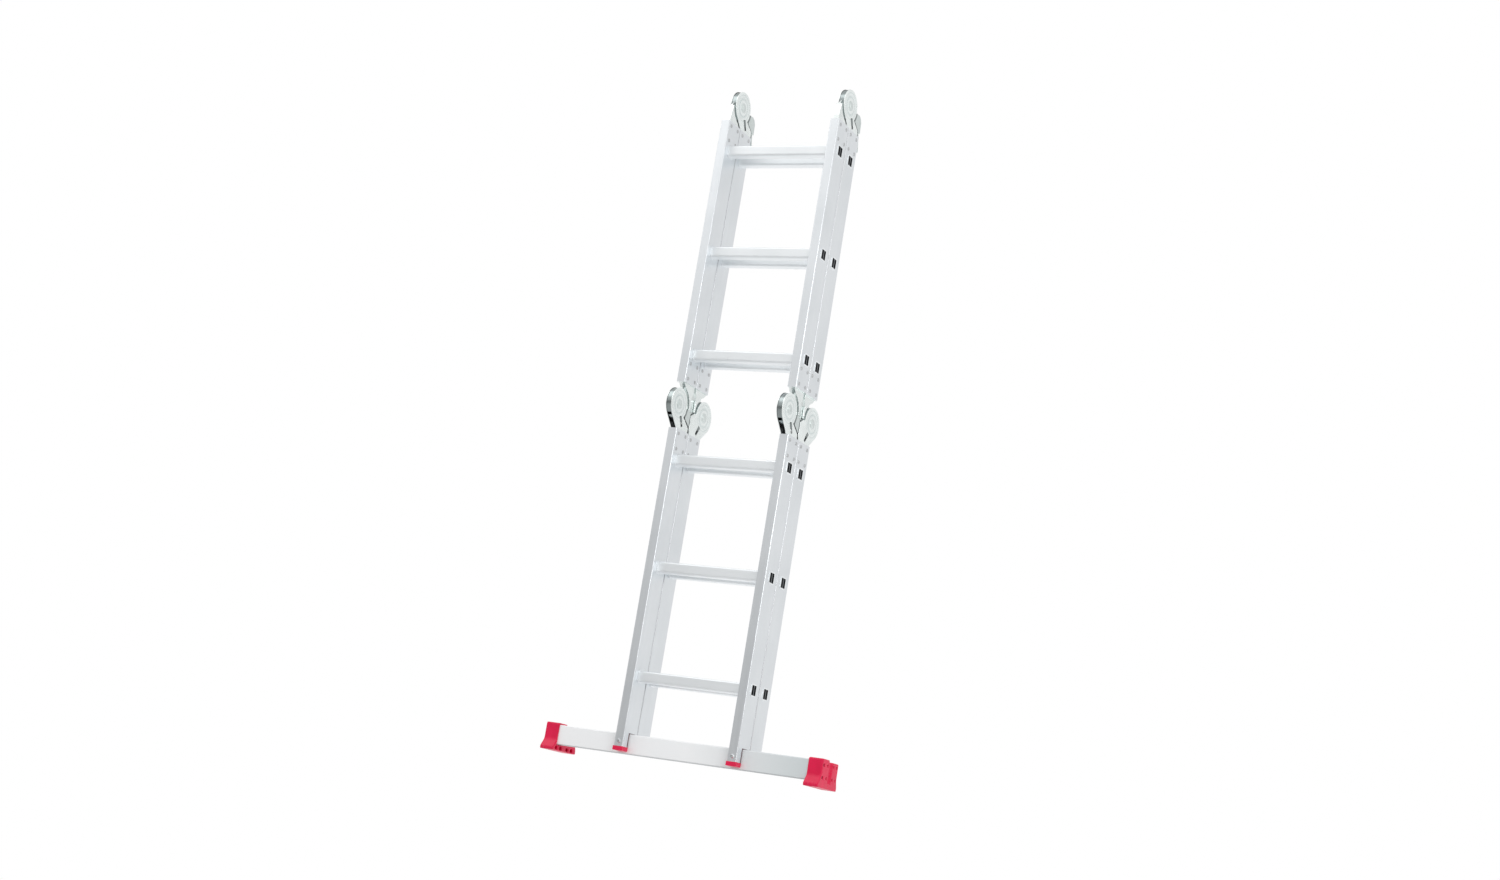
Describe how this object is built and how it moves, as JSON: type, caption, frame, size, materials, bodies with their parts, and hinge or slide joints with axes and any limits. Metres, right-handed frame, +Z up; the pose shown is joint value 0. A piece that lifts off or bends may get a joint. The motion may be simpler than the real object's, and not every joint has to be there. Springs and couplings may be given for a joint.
{
  "type": "multi position ladder",
  "caption": "Folding aluminium ladder in hinged sections with locking disc hinges, shown doubled up on a wide stabiliser bar with moulded feet.",
  "frame": {"origin": "on the ground under the middle of the doubled-up ladder: centre of the bounding box in X and Y, at the soles of the stabiliser bar", "axes": "+Z up along the stiles, +X to the right seen from the front, +Y towards the rear sections"},
  "size_m": [0.7746, 0.2262, 1.7925],
  "materials": {
    "stile_aluminium": "extruded, mill finish",
    "rung_aluminium": "extruded, mill finish, ribbed tread",
    "bar_aluminium": "extruded, mill finish",
    "rivet_steel": "zinc plated",
    "zinc_steel": "zinc plated pressings",
    "pivot_steel": "zinc plated, riveted over",
    "lock_steel": "zinc plated",
    "spring_steel": "plain wire",
    "screw_steel": "bright cross-head",
    "red_plastic": "moulded, satin"
  },
  "bodies": {
    "lower_front": {"bar_foot_left": "red_plastic", "bar_foot_right": "red_plastic", "bar_screws": "screw_steel", "lower_front_rivets": "rivet_steel", "lower_front_rung_1": "rung_aluminium", "lower_front_rung_2": "rung_aluminium", "lower_front_rung_3": "rung_aluminium", "lower_front_stile_left": "stile_aluminium", "lower_front_stile_right": "stile_aluminium", "lug_pad_left": "red_plastic", "lug_pad_right": "red_plastic", "mid_front_hinge_shell_left": "zinc_steel", "mid_front_hinge_shell_right": "zinc_steel", "mid_front_lock_spring_left": "spring_steel", "mid_front_lock_spring_right": "spring_steel", "mid_front_pivots": "pivot_steel", "stabiliser_bar": "bar_aluminium"},
    "upper_front": {"mid_front_hinge_disc_left": "zinc_steel", "mid_front_hinge_disc_right": "zinc_steel", "top_hinge_disc_left": "zinc_steel", "top_hinge_disc_right": "zinc_steel", "upper_front_rivets": "rivet_steel", "upper_front_rung_1": "rung_aluminium", "upper_front_rung_2": "rung_aluminium", "upper_front_rung_3": "rung_aluminium", "upper_front_stile_left": "stile_aluminium", "upper_front_stile_right": "stile_aluminium"},
    "upper_rear": {"mid_rear_hinge_disc_left": "zinc_steel", "mid_rear_hinge_disc_right": "zinc_steel", "top_hinge_shell_left": "zinc_steel", "top_hinge_shell_right": "zinc_steel", "top_lock_spring_left": "spring_steel", "top_lock_spring_right": "spring_steel", "top_pivots": "pivot_steel", "upper_rear_rivets": "rivet_steel", "upper_rear_rung_1": "rung_aluminium", "upper_rear_rung_2": "rung_aluminium", "upper_rear_rung_3": "rung_aluminium", "upper_rear_stile_left": "stile_aluminium", "upper_rear_stile_right": "stile_aluminium"},
    "lower_rear": {"end_cap_left": "red_plastic", "end_cap_right": "red_plastic", "lower_rear_rivets": "rivet_steel", "lower_rear_rung_1": "rung_aluminium", "lower_rear_rung_2": "rung_aluminium", "lower_rear_rung_3": "rung_aluminium", "lower_rear_stile_left": "stile_aluminium", "lower_rear_stile_right": "stile_aluminium", "mid_rear_hinge_shell_left": "zinc_steel", "mid_rear_hinge_shell_right": "zinc_steel", "mid_rear_lock_spring_left": "spring_steel", "mid_rear_lock_spring_right": "spring_steel", "mid_rear_pivots": "pivot_steel"},
    "mid_front_lock_left": {"mid_front_lock_left": "lock_steel"},
    "mid_front_lock_right": {"mid_front_lock_right": "lock_steel"},
    "mid_rear_lock_left": {"mid_rear_lock_left": "lock_steel"},
    "mid_rear_lock_right": {"mid_rear_lock_right": "lock_steel"},
    "top_lock_left": {"top_lock_left": "lock_steel"},
    "top_lock_right": {"top_lock_right": "lock_steel"}
  },
  "joints": [
    {"name": "mid_front_fold", "type": "hinge", "parent": "lower_front", "child": "upper_front", "pos_m": [0, -0.0706, 0.91], "axis": [1, 0, 0], "range_deg": [0, 178.5]},
    {"name": "top_fold", "type": "hinge", "parent": "upper_front", "child": "upper_rear", "pos_m": [0, 0, 1.75], "axis": [-1, 0, 0], "range_deg": [-180, 0]},
    {"name": "mid_rear_fold", "type": "hinge", "parent": "upper_rear", "child": "lower_rear", "pos_m": [0, 0.0706, 0.91], "axis": [1, 0, 0], "range_deg": [0, 178.5]},
    {"name": "mid_front_release_left", "type": "slide", "parent": "lower_front", "child": "mid_front_lock_left", "axis": [0, 0.5075, -0.8616], "range_m": [0, 0.007], "stiffness_N_per_m": 600, "springref_m": -0.01, "deforming": ["mid_front_lock_spring_left"]},
    {"name": "mid_front_release_right", "type": "slide", "parent": "lower_front", "child": "mid_front_lock_right", "axis": [0, 0.5075, -0.8616], "range_m": [0, 0.007], "stiffness_N_per_m": 600, "springref_m": -0.01, "deforming": ["mid_front_lock_spring_right"]},
    {"name": "mid_rear_release_left", "type": "slide", "parent": "lower_rear", "child": "mid_rear_lock_left", "axis": [0, -0.5075, -0.8616], "range_m": [0, 0.007], "stiffness_N_per_m": 600, "springref_m": -0.01, "deforming": ["mid_rear_lock_spring_left"]},
    {"name": "mid_rear_release_right", "type": "slide", "parent": "lower_rear", "child": "mid_rear_lock_right", "axis": [0, -0.5075, -0.8616], "range_m": [0, 0.007], "stiffness_N_per_m": 600, "springref_m": -0.01, "deforming": ["mid_rear_lock_spring_right"]},
    {"name": "top_release_left", "type": "slide", "parent": "upper_rear", "child": "top_lock_left", "axis": [0, 0.5075, -0.8616], "range_m": [0, 0.007], "stiffness_N_per_m": 600, "springref_m": -0.01, "deforming": ["top_lock_spring_left"]},
    {"name": "top_release_right", "type": "slide", "parent": "upper_rear", "child": "top_lock_right", "axis": [0, 0.5075, -0.8616], "range_m": [0, 0.007], "stiffness_N_per_m": 600, "springref_m": -0.01, "deforming": ["top_lock_spring_right"]}
  ]
}
